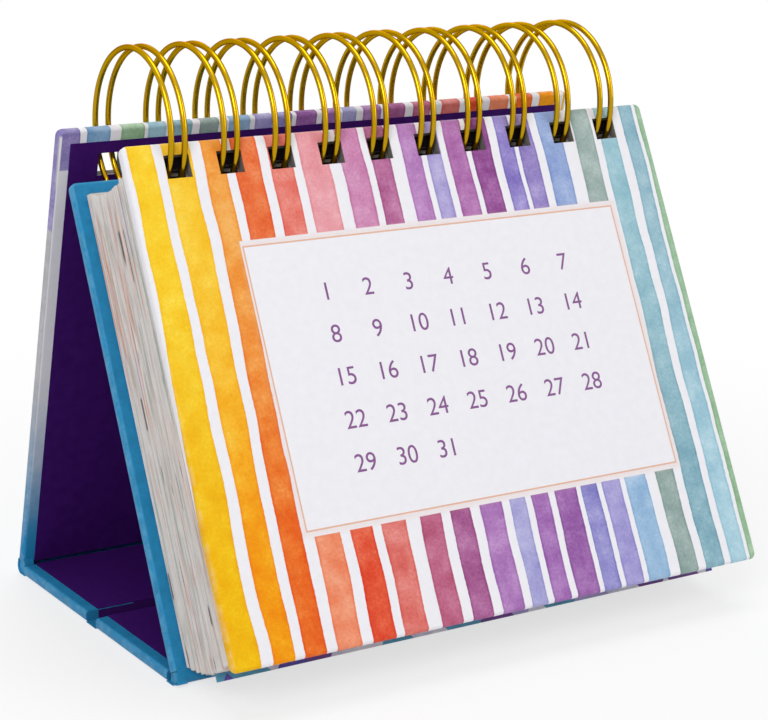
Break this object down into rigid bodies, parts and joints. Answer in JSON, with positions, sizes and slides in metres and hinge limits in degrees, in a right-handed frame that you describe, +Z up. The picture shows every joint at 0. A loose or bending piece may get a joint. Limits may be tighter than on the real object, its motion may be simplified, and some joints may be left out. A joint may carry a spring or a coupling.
{
  "type": "flip day calendar",
  "caption": "Desk flip calendar with a striped cover and month sets of leaves on a gold twin loop wire, standing on a folding tent-shaped easel case.",
  "frame": {"origin": "on the table, under the middle of the whole object's box", "axes": "+X along the wire, to the right as the cover is read; +Y from the cover to the back panel; +Z up"},
  "size_m": [0.1406, 0.1034, 0.1301],
  "materials": {
    "grey_board": "matte",
    "striped_wrap": "satin",
    "blue_wrap": "satin",
    "violet_liner": "matte",
    "white_paper": "matte",
    "printed_card": "matte",
    "gold_wire": "polished"
  },
  "bodies": {
    "binding": {"twin_loop_wire": "gold_wire"},
    "back_panel": {"back_panel_board": "grey_board", "back_panel_wrap": "striped_wrap", "back_panel_liner": "violet_liner"},
    "base_rear": {"base_rear_board": "grey_board", "base_rear_wrap": "blue_wrap", "base_rear_liner": "violet_liner", "base_crease_strip": "blue_wrap"},
    "base_front": {"base_front_board": "grey_board", "base_front_wrap": "blue_wrap", "base_front_liner": "violet_liner"},
    "front_panel": {"front_panel_board": "grey_board", "front_panel_wrap": "blue_wrap", "front_panel_liner": "violet_liner"},
    "front_cover": {"front_cover_board": "grey_board", "front_cover_wrap": "striped_wrap", "front_cover_liner": "violet_liner"},
    "january_set": {"january_leaves": "white_paper"},
    "february_set": {"february_leaves": "white_paper"},
    "march_set": {"march_leaves": "white_paper"},
    "april_set": {"april_leaves": "white_paper"},
    "may_set": {"may_leaves": "white_paper"},
    "june_set": {"june_leaves": "white_paper"},
    "july_set": {"july_leaves": "white_paper"},
    "august_set": {"august_leaves": "white_paper"},
    "september_set": {"september_leaves": "white_paper"},
    "october_set": {"october_leaves": "white_paper"},
    "november_set": {"november_leaves": "white_paper"},
    "december_set": {"december_leaves": "white_paper"},
    "printed_leaf_card": {"printed_leaf": "printed_card"}
  },
  "joints": [
    {"name": "easel_fold", "type": "hinge", "parent": "back_panel", "child": "base_rear", "pos_m": [0, 0.04871, 0.0027], "axis": [-1, 0, 0], "range_deg": [0, 42], "deforming": ["base_crease_strip"]},
    {"name": "back_panel_swing", "type": "hinge", "parent": "binding", "child": "back_panel", "pos_m": [0, 0.0123, 0.1115], "axis": [-1, 0, 0], "range_deg": [0, 4]},
    {"name": "front_panel_swing", "type": "hinge", "parent": "binding", "child": "front_panel", "pos_m": [0, 0.0123, 0.1115], "axis": [1, 0, 0], "range_deg": [0, 4]},
    {"name": "base_front_fold", "type": "hinge", "parent": "front_panel", "child": "base_front", "pos_m": [0, -0.02527, 0.0027], "axis": [1, 0, 0], "range_deg": [0, 42]},
    {"name": "cover_flip", "type": "hinge", "parent": "front_panel", "child": "front_cover", "pos_m": [0, 0.0123, 0.1115], "axis": [-1, 0, 0], "range_deg": [0, 178]},
    {"name": "january_flip", "type": "hinge", "parent": "front_panel", "child": "january_set", "pos_m": [0, 0.0123, 0.1115], "axis": [-1, 0, 0], "range_deg": [0, 165.34]},
    {"name": "february_flip", "type": "hinge", "parent": "front_panel", "child": "february_set", "pos_m": [0, 0.0123, 0.1115], "axis": [-1, 0, 0], "range_deg": [0, 152.61]},
    {"name": "march_flip", "type": "hinge", "parent": "front_panel", "child": "march_set", "pos_m": [0, 0.0123, 0.1115], "axis": [-1, 0, 0], "range_deg": [0, 139.9]},
    {"name": "april_flip", "type": "hinge", "parent": "front_panel", "child": "april_set", "pos_m": [0, 0.0123, 0.1115], "axis": [-1, 0, 0], "range_deg": [0, 127.2]},
    {"name": "may_flip", "type": "hinge", "parent": "front_panel", "child": "may_set", "pos_m": [0, 0.0123, 0.1115], "axis": [-1, 0, 0], "range_deg": [0, 114.49]},
    {"name": "june_flip", "type": "hinge", "parent": "front_panel", "child": "june_set", "pos_m": [0, 0.0123, 0.1115], "axis": [-1, 0, 0], "range_deg": [0, 101.76]},
    {"name": "printed_leaf_flip", "type": "hinge", "parent": "front_panel", "child": "printed_leaf_card", "pos_m": [0, 0.0123, 0.1115], "axis": [-1, 0, 0], "range_deg": [0, 89.05]},
    {"name": "july_flip", "type": "hinge", "parent": "front_panel", "child": "july_set", "pos_m": [0, 0.0123, 0.1115], "axis": [-1, 0, 0], "range_deg": [0, 76.34]},
    {"name": "august_flip", "type": "hinge", "parent": "front_panel", "child": "august_set", "pos_m": [0, 0.0123, 0.1115], "axis": [-1, 0, 0], "range_deg": [0, 63.61]},
    {"name": "september_flip", "type": "hinge", "parent": "front_panel", "child": "september_set", "pos_m": [0, 0.0123, 0.1115], "axis": [-1, 0, 0], "range_deg": [0, 50.9]},
    {"name": "october_flip", "type": "hinge", "parent": "front_panel", "child": "october_set", "pos_m": [0, 0.0123, 0.1115], "axis": [-1, 0, 0], "range_deg": [0, 38.2]},
    {"name": "november_flip", "type": "hinge", "parent": "front_panel", "child": "november_set", "pos_m": [0, 0.0123, 0.1115], "axis": [-1, 0, 0], "range_deg": [0, 25.49]},
    {"name": "december_flip", "type": "hinge", "parent": "front_panel", "child": "december_set", "pos_m": [0, 0.0123, 0.1115], "axis": [-1, 0, 0], "range_deg": [0, 12.76]}
  ],
  "couplings": [
    {"joint": "back_panel_swing", "follows": "easel_fold", "ratio": 0.095},
    {"joint": "front_panel_swing", "follows": "easel_fold", "ratio": 0.095},
    {"joint": "base_front_fold", "follows": "easel_fold", "ratio": 1},
    {"joint": "january_flip", "follows": "cover_flip", "ratio": 0.9286},
    {"joint": "february_flip", "follows": "cover_flip", "ratio": 0.8571},
    {"joint": "march_flip", "follows": "cover_flip", "ratio": 0.7857},
    {"joint": "april_flip", "follows": "cover_flip", "ratio": 0.7143},
    {"joint": "may_flip", "follows": "cover_flip", "ratio": 0.6429},
    {"joint": "june_flip", "follows": "cover_flip", "ratio": 0.5714},
    {"joint": "printed_leaf_flip", "follows": "cover_flip", "ratio": 0.5},
    {"joint": "july_flip", "follows": "cover_flip", "ratio": 0.4286},
    {"joint": "august_flip", "follows": "cover_flip", "ratio": 0.3571},
    {"joint": "september_flip", "follows": "cover_flip", "ratio": 0.2857},
    {"joint": "october_flip", "follows": "cover_flip", "ratio": 0.2143},
    {"joint": "november_flip", "follows": "cover_flip", "ratio": 0.1429},
    {"joint": "december_flip", "follows": "cover_flip", "ratio": 0.0714}
  ]
}
